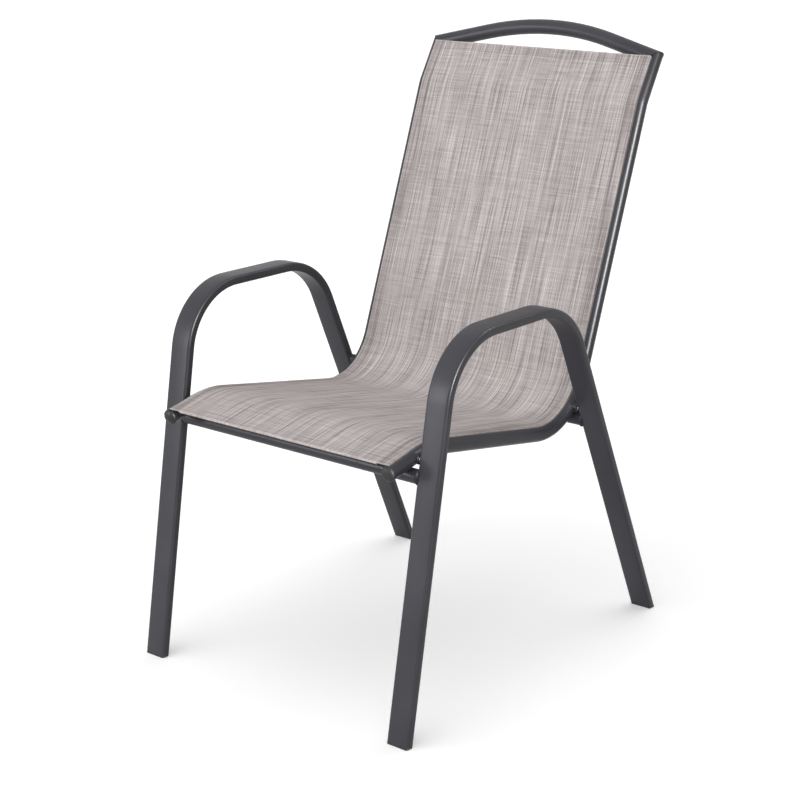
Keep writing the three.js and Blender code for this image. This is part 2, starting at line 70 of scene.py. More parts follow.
# Seat rails
RAIL_X = 218.6 * MM
RAIL_RADIUS = 12 * MM
RAIL_WALL = 1.5 * MM
RAIL_SETBACK = 17.4 * MM
RAIL_FRONT_HEIGHT = 409 * MM
RAIL_RUNS = (86.4 * MM, 385.4 * MM, 544.2 * MM, 78.2 * MM)  # lip, seat, back and head
RAIL_RISES = tuple(math.radians(rise) for rise in (11.5, -10.4, 69.9, 59))
RAIL_BEND_RADII = (150 * MM, 111.9 * MM, 59.3 * MM)
SLOT_HALF_WIDTH = 2 * MM
SLOT_LIP_ROUNDING = 0.4 * MM

# Top arch
ARCH_RADIUS = 12.5 * MM
ARCH_WALL = 1.5 * MM
ARCH_SLOPE = math.radians(15)
ARCH_BEND_RADIUS = 480 * MM
ARCH_OVERRUN = 20 * MM  # of rail and arch past their joint, before they are mitred

# Crossbars
BAR_RADIUS = 11 * MM
BAR_WALL = 1.5 * MM

# Welds
WELD_LEG = 1.6 * MM  # of the fillet round a crossbar
WELD_CROWN = 4 * MM  # of the weld that closes a crossbar's end and rounds off to the leg
MITRE_BEAD = 1.1 * MM  # radius of the bead round the arch's ends

# Fasteners
TOUCH_GAP = 0.3 * MM
BOLT_RADIUS = 3 * MM
BOLT_LENGTH = 45 * MM
BOLT_HEAD_RADIUS = 5.25 * MM
BOLT_HEAD_HEIGHT = 3.3 * MM
BOLT_FLAT = 0.62 * BOLT_HEAD_RADIUS  # radius of the flat round the socket
BOLT_CROWN = 1 * MM
BOLT_DOME = ((1, 0.28), (0.35, 0.65), (0, 1.35))  # (in from the head's rim, down), in crowns
SOCKET_RADIUS = 2.3 * MM
SOCKET_DEPTH = 1.8 * MM
SOCKET_SIDES = 6
BOLT_HOLE = 3.3 * MM  # radius, in washers and spacers
WASHER_RADIUS = 6.25 * MM
WASHER_THICKNESS = 1.2 * MM
WASHER_EDGE = 0.3 * MM
WASHER_X = RAIL_X - RAIL_RADIUS - TOUCH_GAP - WASHER_THICKNESS  # of its inner face
SPACER_RADIUS = 8 * MM
SPACER_EDGE = 0.6 * MM

# Caps
CAP_HEAD = 6.5 * MM
CAP_DOME = 6 * MM  # of the head's height, the rounded part
CAP_STEM = 18 * MM
CAP_STEM_LEVEL = 2.2 * MM  # the stem is cut flat here, under the hem pocket
FOOT_HEIGHT = 3.5 * MM
FOOT_EDGE = 1 * MM
FOOT_PLUG = 22 * MM

# Sling
CLOTH_THICKNESS = 0.65 * MM
CLOTH_RISE = 13.15 * MM  # of the cloth's middle over the rails' centres
HEM_RISE = 12.45 * MM  # of the layer that is turned under it
HEM_WIDTH = 21 * MM
HEM_ROUNDING = 0.3 * MM
FOLD_ROUNDING = 1 * MM
SLOT_OFFSET = 0.35 * MM  # of each of the two layers in the slot
POCKET_RISE = 6.4 * MM
POCKET_RADIUS = 3.2 * MM
SLING_FRONT_SETBACK = 2.5 * MM
SLING_TOP_SETBACK = 3.5 * MM
END_HEM = 18 * MM  # of the hems at the front and at the top
FRONT_FOLD = 1.5 * MM  # radius of the front hem's edge, which is folded twice
TOP_FOLD = 0.6 * MM
CORNER_FOLD = 0.85 * MM  # where an end hem runs over a side hem
YARN_PITCH = 1.25 * MM
SIDE_SEAMS = (8.5 * MM, 18.5 * MM)  # rows of stitches along each side, from the fold
FRONT_SEAMS = (6 * MM, 15.5 * MM)
TOP_SEAMS = (15 * MM,)
STITCH_LENGTH = 3.4 * MM
STITCH_PITCH = 4.5 * MM
STITCH_WIDTH = 0.75 * MM
STITCH_HEIGHT = 0.4 * MM

# Fineness
ROUND_SEGMENTS = 48
DOME_STEPS = 8
CORNER_SEGMENTS = 6
LIP_SEGMENTS = 2
FOOT_EDGE_SEGMENTS = 3
WELD_STEPS = 5
MITRE_BEAD_RESOLUTION = 3
SLOT_FOLD_STEPS = 5
POCKET_STEPS = 20
HEM_STEPS = 2
END_FOLD_STEPS = 8
STITCH_SEGMENTS = (6, 4)  # round it and along it
FINE_TURN = math.radians(2.5)
CLOTH_TURN = math.radians(2)
CLOTH_RUN = 12 * MM
CLOTH_STEP_ACROSS = 11 * MM
WALK_STEP = 2 * MM
SMOOTH_ANGLE = math.radians(35)
MERGE_DISTANCE = 0.001 * MM

SIDES = {"left": 1, "right": -1}
ENDS = ("front", "rear")
ACROSS = Vector((1, 0, 0))
UPRIGHT = Vector((0, 0, 1))
SIDEWAYS = Matrix.Rotation(QUARTER, 4, "Y")


# Finishes. Clouds and grain are a noise's (scale, detail), a relief is a bump's (strength, depth), and
# a gloss is a specular level.

DRIFT = (0.3, 0.7)  # the part of a noise that takes a roughness from its least to its most
PAINT_CLOUDS = (9, 3)
PAINT_GRAIN = (700, 2)
PAINT_GRAIN_SHARE = 0.25
PAINT_TONES = [
    (0.35, (0.049, 0.048, 0.057)), (0.62, (0.058, 0.057, 0.067)), (0.9, (0.069, 0.068, 0.079)),
]
PAINT_ROUGHNESS = (0.33, 0.40)
PAINT_PEEL = (420, 2)
PAINT_RELIEF = (0.10, 0.3 * MM)
PAINT_GLOSS = 0.15
WELD_RIPPLES = (320, 1)
WELD_RELIEF = (0.25, 0.4 * MM)
WELD_GLOSS = 0.04
BLACK_CLOUDS = (60, 3)
BLACK_TONES = [(0.3, (0.016, 0.016, 0.017)), (0.75, (0.030, 0.030, 0.031))]
BLACK_ROUGHNESS = (0.45, 0.62)
BLACK_GRAIN = (1500, 1)
BLACK_RELIEF = (0.2, 0.2 * MM)
BLACK_GLOSS = 0.3
ROD_CLOUDS = (120, 2)
ROD_TONES = [(0.3, (0.56, 0.56, 0.54)), (0.7, (0.66, 0.66, 0.64))]
ROD_ROUGHNESS = (0.45, 0.6)
ZINC_CLOUDS = (240, 3)
ZINC_TONES = [(0.3, (0.42, 0.43, 0.44)), (0.7, (0.60, 0.61, 0.63))]
ZINC_ROUGHNESS = (0.26, 0.42)
ZINC_SCRATCHES = (2500, 1)
ZINC_RELIEF = (0.08, 0.1 * MM)
THREAD_TWIST = (1800, 1)
THREAD_TONES = [(0.3, (0.24, 0.215, 0.205)), (0.7, (0.40, 0.36, 0.35))]
THREAD_ROUGHNESS = 0.6
THREAD_RELIEF = (0.4, 0.2 * MM)

CLOTH_TONES = [
    (0.36, (0.262, 0.233, 0.228)), (0.5, (0.472, 0.428, 0.419)), (0.64, (0.690, 0.642, 0.631)),
]
CLOTH_ROUGHNESS = 0.72
WEAVE_RELIEF = (0.35, 0.25 * MM)
# Shares of the cloth's tone: (share, width of a yarn or bundle, run of one tone, shift)
WARP_YARNS = ((0.22, 2.1 * MM, 190 * MM, 3.1), (0.33, YARN_PITCH, 100 * MM, 51.7))
WEFT_YARNS = ((0.075, 2.2 * MM, 80 * MM, 90.7), (0.13, YARN_PITCH, 40 * MM, 17.3))
WARP_STREAKS = ((0.04, 9 * MM, 260 * MM, 7.5),)
STREAK_DETAIL = 2
NEXT_YARN = 1.37  # how far apart in the noise neighbouring yarns take their tones
TONE_SHIFT = 0.106  # brings the middle tone back to a half
# Painted light and shade along the doubled edges, added to the tone: (share, from, to), measured from
# each edge. The folds and the top hem's lower border get painted highlight. The doubled layers, which
# let less light through, and the creases along the seams get painted shade.
SIDE_HEM_PAINTED_LIGHT = ((0.025, -1 * MM, 1.8 * MM), (-0.052, 1.8 * MM, 19.5 * MM), (-0.028, 13.5 * MM, 17 * MM))
FRONT_HEM_PAINTED_LIGHT = (
    (0.050, -2 * MM, 1.2 * MM), (-0.040, 3 * MM, 5 * MM), (-0.035, 8 * MM, 10 * MM),
    (-0.040, 13.5 * MM, 16 * MM),
)
TOP_HEM_PAINTED_LIGHT = ((0.040, -2 * MM, 1.2 * MM), (-0.030, 1.2 * MM, 16 * MM), (0.018, 16.5 * MM, 18 * MM))
BAND_SOFTNESS = 0.6 * MM


def new_material(name):
    material = bpy.data.materials.new(name)
    material.use_nodes = True
    return material, material.node_tree, material.node_tree.nodes["Principled BSDF"]


def object_place(tree):
    return tree.nodes.new("ShaderNodeTexCoord").outputs["Object"]


def noise(tree, vector, scale, detail):
    node = tree.nodes.new("ShaderNodeTexNoise")
    node.inputs["Scale"].default_value = scale
    node.inputs["Detail"].default_value = detail
    tree.links.new(vector, node.inputs["Vector"])
    return node.outputs["Fac"]


def math_node(tree, operation, *values):
    """One operation on what other nodes give, or on plain numbers."""
    node = tree.nodes.new("ShaderNodeMath")
    node.operation = operation
    for socket, value in zip(node.inputs, values):
        if isinstance(value, (int, float)):
            socket.default_value = value
        else:
            tree.links.new(value, socket)
    return node.outputs["Value"]


def add_share(tree, total, value, share):
    """A total, with a share of a value added to it."""
    return math_node(tree, "MULTIPLY_ADD", value, share, total)


def spread(tree, value, low, high, to_low, to_high):
    node = tree.nodes.new("ShaderNodeMapRange")
    names = ("From Min", "From Max", "To Min", "To Max")
    for name, number in zip(names, (low, high, to_low, to_high)):
        node.inputs[name].default_value = number
    tree.links.new(value, node.inputs["Value"])
    return node.outputs["Result"]


def tint(tree, shader, value, stops):
    """Colours a finish by a value."""
    node = tree.nodes.new("ShaderNodeValToRGB")
    elements = node.color_ramp.elements
    while len(elements) < len(stops):
        elements.new(stops[1][0])
    for element, (place, colour) in zip(elements, stops):
        element.position = place
        element.color = (*colour, 1)
    tree.links.new(value, node.inputs["Fac"])
    tree.links.new(node.outputs["Color"], shader.inputs["Base Color"])


def emboss(tree, shader, height, strength, depth):
    node = tree.nodes.new("ShaderNodeBump")
    node.inputs["Strength"].default_value = strength
    node.inputs["Distance"].default_value = depth
    tree.links.new(height, node.inputs["Height"])
    tree.links.new(node.outputs["Normal"], shader.inputs["Normal"])


def clouded(name, clouds, tones, roughness):
    """A finish whose tone and roughness drift together."""
    material, tree, shader = new_material(name)
    place = object_place(tree)
    drift = noise(tree, place, *clouds)
    tint(tree, shader, drift, tones)
    tree.links.new(spread(tree, drift, *DRIFT, *roughness), shader.inputs["Roughness"])
    return material, tree, shader, place


def powder_coat():
    """Satin anthracite powder coat: fine orange peel, and a tone that drifts a little."""
    material, tree, shader = new_material("anthracite_powder_coat")
    place = object_place(tree)
    drift = noise(tree, place, *PAINT_CLOUDS)
    grain = noise(tree, place, *PAINT_GRAIN)
    tint(tree, shader, add_share(tree, drift, grain, PAINT_GRAIN_SHARE), PAINT_TONES)
    tree.links.new(spread(tree, drift, *DRIFT, *PAINT_ROUGHNESS), shader.inputs["Roughness"])
    emboss(tree, shader, noise(tree, place, *PAINT_PEEL), *PAINT_RELIEF)
    shader.inputs["Specular IOR Level"].default_value = PAINT_GLOSS
    return material


def weld_paint(coat):
    """The same coat over the ripples of a weld."""
    material = coat.copy()
    material.name = "coated_weld"
    tree = material.node_tree
    shader = tree.nodes["Principled BSDF"]
    emboss(tree, shader, noise(tree, object_place(tree), *WELD_RIPPLES), *WELD_RELIEF)
    shader.inputs["Specular IOR Level"].default_value = WELD_GLOSS
    return material


def black_moulding():
    """Moulded polypropylene, with the light grain of its tool."""
    material, tree, shader, place = clouded(
        "black_moulding", BLACK_CLOUDS, BLACK_TONES, BLACK_ROUGHNESS
    )
    emboss(tree, shader, noise(tree, place, *BLACK_GRAIN), *BLACK_RELIEF)
    shader.inputs["Specular IOR Level"].default_value = BLACK_GLOSS
    return material


def rod_plastic():
    """The extruded rod in a hem pocket, plain and a little clouded."""
    return clouded("extruded_rod", ROD_CLOUDS, ROD_TONES, ROD_ROUGHNESS)[0]


def zinc_plate():
    """Bright zinc plate, slightly clouded, with fine scratches."""
    material, tree, shader, place = clouded(
        "bright_zinc_plate", ZINC_CLOUDS, ZINC_TONES, ZINC_ROUGHNESS
    )
    shader.inputs["Metallic"].default_value = 1
    emboss(tree, shader, noise(tree, place, *ZINC_SCRATCHES), *ZINC_RELIEF)
    return material


def sewing_thread():
    """Thread whose twist shows in its tone and its relief."""
    material, tree, shader = new_material("sewing_thread")
    twist = noise(tree, object_place(tree), *THREAD_TWIST)
    tint(tree, shader, twist, THREAD_TONES)
    shader.inputs["Roughness"].default_value = THREAD_ROUGHNESS
    emboss(tree, shader, twist, *THREAD_RELIEF)
    return material


def lane_noise(tree, lane, along, run, level=0, detail=0):
    """A noise across lanes, which drifts along each of them over one run."""
    vector = tree.nodes.new("ShaderNodeCombineXYZ")
    tree.links.new(lane, vector.inputs["X"])
    tree.links.new(math_node(tree, "DIVIDE", along, run), vector.inputs["Y"])
    vector.inputs["Z"].default_value = level
    return noise(tree, vector.outputs["Vector"], 1, detail)


def band(tree, distance, start, end):
    """1 between two distances, and 0 beyond them, with soft sides."""
    into = spread(tree, distance, start - BAND_SOFTNESS, start + BAND_SOFTNESS, 0, 1)
    out = spread(tree, distance, end - BAND_SOFTNESS, end + BAND_SOFTNESS, 1, 0)
    return math_node(tree, "MULTIPLY", into, out)


def woven_mesh(name, length):
    """Linen-look coated mesh: every yarn has its own tone, warp over weft, on the cloth's own map.
    The doubled edges are denser and get painted shade, as less light comes through them, and their
    folds get a painted highlight."""
    material, tree, shader = new_material(name)
    cloth = tree.nodes.new("ShaderNodeUVMap")
    cloth.uv_map = "cloth"
    parts = tree.nodes.new("ShaderNodeSeparateXYZ")
    tree.links.new(cloth.outputs["UV"], parts.inputs["Vector"])
    across, along = parts.outputs["X"], parts.outputs["Y"]

    tone = TONE_SHIFT
    for yarns, beside, onwards in ((WARP_YARNS, across, along), (WEFT_YARNS, along, across)):
        for share, pitch, run, shift in yarns:
            index = math_node(tree, "FLOOR", math_node(tree, "DIVIDE", beside, pitch))
            yarn = lane_noise(tree, add_share(tree, shift, index, NEXT_YARN), onwards, run)
            tone = add_share(tree, tone, yarn, share)
    for share, width, run, shift in WARP_STREAKS:
        lane = math_node(tree, "DIVIDE", across, width)
        streak = lane_noise(tree, lane, along, run, shift, STREAK_DETAIL)
        tone = add_share(tree, tone, streak, share)

    # Painted highlight on the folds, and painted shade on the doubled hems and in the seam creases.
    from_fold = math_node(tree, "SUBTRACT", RAIL_X, math_node(tree, "ABSOLUTE", across))
    from_top = math_node(tree, "SUBTRACT", length, along)
    for distance, painted_light_bands in ((from_fold, SIDE_HEM_PAINTED_LIGHT), (along, FRONT_HEM_PAINTED_LIGHT), (from_top, TOP_HEM_PAINTED_LIGHT)):
        for share, start, end in painted_light_bands:
            tone = add_share(tree, tone, band(tree, distance, start, end), share)
    tint(tree, shader, tone, CLOTH_TONES)

    waves = []
    for measure in (across, along):
        turn = math_node(tree, "MULTIPLY", measure, math.pi / YARN_PITCH)
        waves.append(math_node(tree, "SINE", turn))
    emboss(tree, shader, math_node(tree, "MULTIPLY", *waves), *WEAVE_RELIEF)
    shader.inputs["Roughness"].default_value = CLOTH_ROUGHNESS
    shader.inputs["Specular IOR Level"].default_value = 0
    return material


PAINT = powder_coat()
WELD = weld_paint(PAINT)
BLACK = black_moulding()
ROD = rod_plastic()
ZINC = zinc_plate()
THREAD = sewing_thread()


# Shaping


def place_on(origin, across, upward, forward):
    """Turns a shape's X, Y and Z to three directions and moves it to an origin."""
    turn = Matrix((across, upward, forward)).transposed().to_4x4()
    return Matrix.Translation(origin) @ turn


def side_direction(rise):
    """Towards the back and up, in the side view."""
    return Vector((0, math.cos(rise), math.sin(rise)))


def verts_of(parts):
    return [part for part in parts if isinstance(part, bmesh.types.BMVert)]


def edges_of(parts):
    return [part for part in parts if isinstance(part, bmesh.types.BMEdge)]


def corners_of(edges):
    """The points that some edges join, each of them once."""
    return list(dict.fromkeys(vert for edge in edges for vert in edge.verts))


def route(corners, bend_radii):
    """The steps of a centreline: straight runs, and a bend round each corner between them."""
    runs = [after - before for before, after in zip(corners, corners[1:])]
    steps = []
    start = corners[0]
    for corner, into, out, radius in zip(corners[1:], runs, runs[1:], bend_radii):
        into, out = into.normalized(), out.normalized()
        turn = into.angle(out)
        setback = radius * math.tan(turn / 2)
        begin = corner - into * setback
        axis = into.cross(out).normalized()
        steps.append(("run", begin - start))
        steps.append(("bend", begin + axis.cross(into) * radius, axis, turn))
        start = corner + out * setback
    steps.append(("run", corners[-1] - start))
    return steps


def spin(bm, parts, centre, axis, angle, steps, use_merge=False):
    """Spins some parts round an axis, and gives the last that were made."""
    return bmesh.ops.spin(
        bm, geom=parts, cent=centre, axis=axis, dvec=Vector(), angle=angle, space=Matrix.Identity(4),
        steps=steps, use_merge=use_merge, use_normal_flip=False, use_duplicate=False,
    )["geom_last"]


def carry(bm, ring, steps, longest_run=math.inf, finest_turn=FINE_TURN, ruler=None):
    """Extrudes a ring of edges along the runs and spins it round the bends. Gives the last ring.
    A ruler is a layer that measures how far each point has been carried."""
    for step in steps:
        bending = step[0] == "bend"
        if bending:
            centre, axis, turn = step[1:]
            count = math.ceil(turn / finest_turn)
        else:
            run = step[1]
            count = max(1, math.ceil(run.length / longest_run))
        for _ in range(count):
            if bending:
                made = spin(bm, [*corners_of(ring), *ring], centre, axis, turn / count, 1)
            else:
                made = bmesh.ops.extrude_edge_only(bm, edges=ring)["geom"]
            moved, ring = verts_of(made), edges_of(made)
            if not bending:
                bmesh.ops.translate(bm, verts=moved, vec=run / count)
            if ruler is not None:
                for vert in moved:
                    spoke = vert.co - centre if bending else run
                    reach = (spoke - axis * spoke.dot(axis)).length * turn if bending else run.length
                    vert[ruler] += reach / count
    return ring


def new_object(name, data):
    made = bpy.data.objects.new(name, data)
    bpy.context.scene.collection.objects.link(made)
    return made


def mesh_object(name, bm, material):
    mesh = bpy.data.meshes.new(name)
    bm.to_mesh(mesh)
    bm.free()
    mesh.materials.append(material)
    return new_object(name, mesh)


def finish_piece(name, bm, material, smooth_angle=SMOOTH_ANGLE):
    """Makes an object of a mesh, smooth but for its sharp edges, that moves with the chair."""
    for face in bm.faces:
        face.smooth = True
    for edge in bm.edges:
        edge.smooth = len(edge.link_faces) == 2 and edge.calc_face_angle(0) < smooth_angle
    piece = mesh_object(name, bm, material)
    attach(piece, "root")
    return piece


def face_outwards(bm):
    bmesh.ops.recalc_face_normals(bm, faces=bm.faces[:])


def join_up(bm):
    """Merges doubles, and turns the faces outwards."""
    bmesh.ops.remove_doubles(bm, verts=bm.verts[:], dist=MERGE_DISTANCE)
    face_outwards(bm)


def close_end(bm, ring):
    bmesh.ops.contextual_create(bm, geom=ring)


def slice_off(bm, point, normal):
    """Cuts off what lies on the normal's side of a plane, and gives the open rim."""
    everything = bm.verts[:] + bm.edges[:] + bm.faces[:]
    bmesh.ops.bisect_plane(
        bm, geom=everything, dist=MERGE_DISTANCE, plane_co=point, plane_no=normal, clear_outer=True,
    )
    return [edge for edge in bm.edges if edge.is_boundary]


def stand_section(bm, parts, origin, forward, across):
    """Stands a flat outline square to the start of a centreline."""
    forward = forward.normalized()
    across = (across - forward * across.dot(forward)).normalized()
    upward = forward.cross(across)
    bmesh.ops.transform(bm, matrix=place_on(origin, across, upward, forward), verts=corners_of(parts))


def round_ring(bm, radius):
    made = bmesh.ops.create_circle(bm, cap_ends=False, radius=radius, segments=ROUND_SEGMENTS)
    return list(dict.fromkeys(edge for vert in made["verts"] for edge in vert.link_edges))


def round_corners(bm, corners, radius, segments):
    bmesh.ops.bevel(
        bm, geom=corners, offset=radius, offset_type="OFFSET", segments=segments, profile=0.5,
        affect="VERTICES", material=-1,
    )


def flat_oval_ring(bm, width, depth, corner):
    """The outline of a flat tube, from a plate with its corners rounded off."""
    plate = bmesh.ops.create_grid(bm, x_segments=1, y_segments=1, size=1)["verts"]
    bmesh.ops.scale(bm, vec=(width / 2, depth / 2, 1), verts=plate)
    round_corners(bm, plate, corner, CORNER_SEGMENTS)
    ring = [edge for face in bm.faces for edge in face.edges]
    bmesh.ops.delete(bm, geom=bm.faces[:], context="FACES_ONLY")
    return ring


def tube(bm, rings, steps, origin, forward, across=ACROSS):
    """Carries an outer and an inner ring along a centreline, as a tube with a wall."""
    for ring in rings:
        stand_section(bm, ring, origin, forward, across)
    ends = [carry(bm, ring, steps) for ring in rings]
    bmesh.ops.bridge_loops(bm, edges=rings[0] + rings[1])
    bmesh.ops.bridge_loops(bm, edges=ends[0] + ends[1])
    join_up(bm)


def spun(bm, points):
    """A turned shape about X, from an outline of (place along X, radius)."""
    outline = [bm.verts.new((x, 0, radius)) for x, radius in points]
    edges = [bm.edges.new(pair) for pair in zip(outline, outline[1:])]
    spin(bm, outline + edges, Vector(), ACROSS, 2 * math.pi, ROUND_SEGMENTS, use_merge=True)
    join_up(bm)


def round_over(centre, radius, turn_from, turn_to, steps):
    """Points of an outline round a corner."""
    turns = [turn_from + (turn_to - turn_from) * i / steps for i in range(steps + 1)]
    return [(centre[0] + radius * math.cos(t), centre[1] + radius * math.sin(t)) for t in turns]


def set_across(bm, side, x, place):
    """Turns a shape that was made about X outwards to one side, and moves it to its place."""
    bmesh.ops.scale(bm, vec=(SIDES[side], 1, 1), verts=bm.verts[:])
    bmesh.ops.translate(bm, vec=(SIDES[side] * x, *place), verts=bm.verts[:])
    face_outwards(bm)


# The frame's lines

HEAD_DIRECTION = side_direction(RAIL_RISES[-1])  # up along the rails' head runs


def knee(side, end):
    """The corner that a leg's bend at the arm rounds off."""
    y = FRONT_FOOT_Y + ARM_HEIGHT * math.tan(FRONT_LEG_LEAN)
    z = ARM_HEIGHT
    if end == "rear":
        y += ARM_LENGTH * math.cos(ARM_FALL)
        z -= ARM_LENGTH * math.sin(ARM_FALL)
    return Vector((SIDES[side] * LOOP_SPACING / 2, y, z))


def foot(side, end):
    """Where a leg's centreline meets the floor."""
    corner = knee(side, end)
    if end == "front":
        return Vector((corner.x - SIDES[side] * FRONT_TOE_IN, FRONT_FOOT_Y, 0))
    back = corner.y + corner.z * math.tan(REAR_LEG_SPLAY)
    return Vector((corner.x + SIDES[side] * REAR_SPREAD, back, 0))


def rail_corners(x, front_setback=0, top_setback=0):
    """The corners of a rail's centreline, from its front end to its top."""
    runs = [RAIL_RUNS[0] - front_setback, *RAIL_RUNS[1:-1], RAIL_RUNS[-1] - top_setback]
    front = Vector((x, FRONT_FOOT_Y + RAIL_SETBACK, RAIL_FRONT_HEIGHT))
    corners = [front + side_direction(RAIL_RISES[0]) * front_setback]
    for run, rise in zip(runs, RAIL_RISES):
        corners.append(corners[-1] + side_direction(rise) * run)
    return corners


def arch_direction(sign):
    """From a rail's top along the arch, in the plane of the rails' head runs."""
    return HEAD_DIRECTION * math.sin(ARCH_SLOPE) - ACROSS * sign * math.cos(ARCH_SLOPE)


def mitre_plane(sign):
    """The plane in which a rail and the arch meet: a point of it, and its normal towards the arch."""
    normal = HEAD_DIRECTION + arch_direction(sign)
    return rail_corners(sign * RAIL_X)[-1], normal.normalized()


def bar_place(end):
    """A crossbar's place in the side view, and half its length."""
    low, high = [Vector(corner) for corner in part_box(f"{end}_crossbar")]
    middle = (low + high) / 2
    return middle.y, middle.z, high.x


def bolt_place(end):
    """A bolt's place in the side view."""
    low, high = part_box(f"bolt_{end}_left")
    return (low[1] + high[1]) / 2, (low[2] + high[2]) / 2


def rail_point_near(place):
    """The point of a rail's centreline that is nearest in the side view, and the line's direction."""
    target = Vector((0, *place))
    corners = rail_corners(0)
    found = []
    for low, high in zip(corners, corners[1:]):
        run = high - low
        share = max(0, min(1, (target - low).dot(run) / run.length_squared))
        near = low + run * share
        found.append(((near - target).length, near, run.normalized()))
    return min(found, key=lambda entry: entry[0])[1:]


# Frame pieces


def make_side_loop(side):
    """One flat tube, bent into front leg, arm and rear leg, and cut level over its foot caps."""
    bm = bmesh.new()
    legs = [(foot(side, end), knee(side, end)) for end in ENDS]
    starts = [low + (low - high).normalized() * LEG_OVERRUN for low, high in legs]
    corners = [starts[0], legs[0][1], legs[1][1], starts[1]]
    rings = [
        flat_oval_ring(bm, LOOP_WIDTH - 2 * inset, LOOP_DEPTH - 2 * inset, LOOP_CORNER - inset)
        for inset in (0, LOOP_WALL)
    ]
    steps = route(corners, (FRONT_BEND_RADIUS, REAR_BEND_RADIUS))
    tube(bm, rings, steps, starts[0], corners[1] - corners[0])
    rim = slice_off(bm, UPRIGHT * (FOOT_HEIGHT + TOUCH_GAP), -UPRIGHT)
    middle = (corners[1].y + corners[2].y) / 2
    for in_front in (True, False):
        leg_end = [edge for edge in rim if (edge.verts[0].co.y < middle) == in_front]
        bmesh.ops.bridge_loops(bm, edges=leg_end)
    piece = finish_piece(f"bent_loop_{side}", bm, PAINT)
    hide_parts(f"side_loop_{side}")


def slotted_ring(bm):
    """A rail's outline, open along its top, with rounded lips."""
    lips = []
    for radius in (RAIL_RADIUS, RAIL_RADIUS - RAIL_WALL):
        half = math.asin(SLOT_HALF_WIDTH / radius)
        start = bm.verts.new((radius * math.sin(half), radius * math.cos(half), 0))
        made = spin(bm, [start], Vector(), -UPRIGHT, 2 * (math.pi - half), ROUND_SEGMENTS)
        lips.append((start, verts_of(made)[0]))
    for pair in zip(*lips):
        bm.edges.new(pair)
    round_corners(bm, [vert for pair in lips for vert in pair], SLOT_LIP_ROUNDING, LIP_SEGMENTS)
    return bm.edges[:]


def make_seat_rail(side):
    """A round tube with a slot, bent into lip, seat, back and head, and mitred to the arch."""
    sign = SIDES[side]
    bm = bmesh.new()
    ring = slotted_ring(bm)
    corners = rail_corners(sign * RAIL_X, top_setback=-ARCH_OVERRUN)
    stand_section(bm, ring, corners[0], corners[1] - corners[0], -ACROSS)
    last = carry(bm, ring, route(corners, RAIL_BEND_RADII))
    close_end(bm, ring)
    close_end(bm, last)
    join_up(bm)
    corner, normal = mitre_plane(sign)
    close_end(bm, slice_off(bm, corner - normal * (TOUCH_GAP / 2), normal))
    face_outwards(bm)
    piece = finish_piece(f"slotted_rail_{side}", bm, PAINT)
    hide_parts(f"seat_rail_{side}")


def make_top_arch():
    """A round tube, bent once in its middle and mitred to the rails."""
    bm = bmesh.new()
    middle = rail_corners(0)[-1]
    ends = [
        middle + ACROSS * sign * RAIL_X - arch_direction(sign) * ARCH_OVERRUN for sign in SIDES.values()
    ]
    apex = middle + HEAD_DIRECTION * RAIL_X * math.tan(ARCH_SLOPE)
    rings = [round_ring(bm, ARCH_RADIUS), round_ring(bm, ARCH_RADIUS - ARCH_WALL)]
    steps = route([ends[0], apex, ends[1]], (ARCH_BEND_RADIUS,))
    tube(bm, rings, steps, ends[0], apex - ends[0], HEAD_DIRECTION)
    for sign in SIDES.values():
        corner, normal = mitre_plane(sign)
        rim = slice_off(bm, corner + normal * (TOUCH_GAP / 2), -normal)
        bmesh.ops.bridge_loops(bm, edges=rim)
    piece = finish_piece("arched_top_tube", bm, PAINT)
    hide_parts("top_arch")


def make_crossbar(end):
    y, z, half_length = bar_place(end)
    bm = bmesh.new()
    rings = [round_ring(bm, BAR_RADIUS), round_ring(bm, BAR_RADIUS - BAR_WALL)]
    start = Vector((-half_length, y, z))
    tube(bm, rings, [("run", ACROSS * 2 * half_length)], start, ACROSS, UPRIGHT)
    piece = finish_piece(f"{end}_crossbar_tube", bm, PAINT)
    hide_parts(f"{end}_crossbar")


def make_bar_weld(end, side):
    """The weld that joins a crossbar to a leg: it closes the tube's end and is hollow round it."""
    y, z, half_length = bar_place(end)
    reach = half_length + TOUCH_GAP
    inner = reach - WELD_LEG
    rim = BAR_RADIUS + WELD_LEG
    outline = [(inner, 0), (inner, BAR_RADIUS - BAR_WALL), (inner, BAR_RADIUS)]
    outline += round_over((inner, rim), WELD_LEG, -QUARTER, 0, WELD_STEPS)[1:]
    for step in range(1, DOME_STEPS):
        turn = QUARTER * step / DOME_STEPS
        outline.append((reach + WELD_CROWN * math.sin(turn), rim * math.cos(turn)))
    outline.append((reach + WELD_CROWN, 0))
    bm = bmesh.new()
    spun(bm, outline)
    set_across(bm, side, 0, (y, z))
    finish_piece(f"{end}_crossbar_weld_{side}", bm, WELD)


def make_mitre_weld(side):
    """The bead round the joint of a rail and the arch."""
    corner, normal = mitre_plane(SIDES[side])
    upward = HEAD_DIRECTION.cross(ACROSS)
    curve = bpy.data.curves.new(f"arch_weld_{side}", "CURVE")
    curve.dimensions = "3D"
    curve.bevel_depth = MITRE_BEAD
    curve.bevel_resolution = MITRE_BEAD_RESOLUTION
    bead = curve.splines.new("POLY")
    bead.points.add(ROUND_SEGMENTS - 1)
    bead.use_cyclic_u = True
    for i, point in enumerate(bead.points):
        turn = 2 * math.pi * i / ROUND_SEGMENTS
        rim = (ACROSS * math.cos(turn) + upward * math.sin(turn)) * (RAIL_RADIUS - MITRE_BEAD / 2)
        rim -= HEAD_DIRECTION * (rim.dot(normal) / HEAD_DIRECTION.dot(normal))
        point.co = (*(corner + rim), 1)
    curve.materials.append(WELD)
    piece = new_object(curve.name, curve)
    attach(piece, "root")


# Small pieces


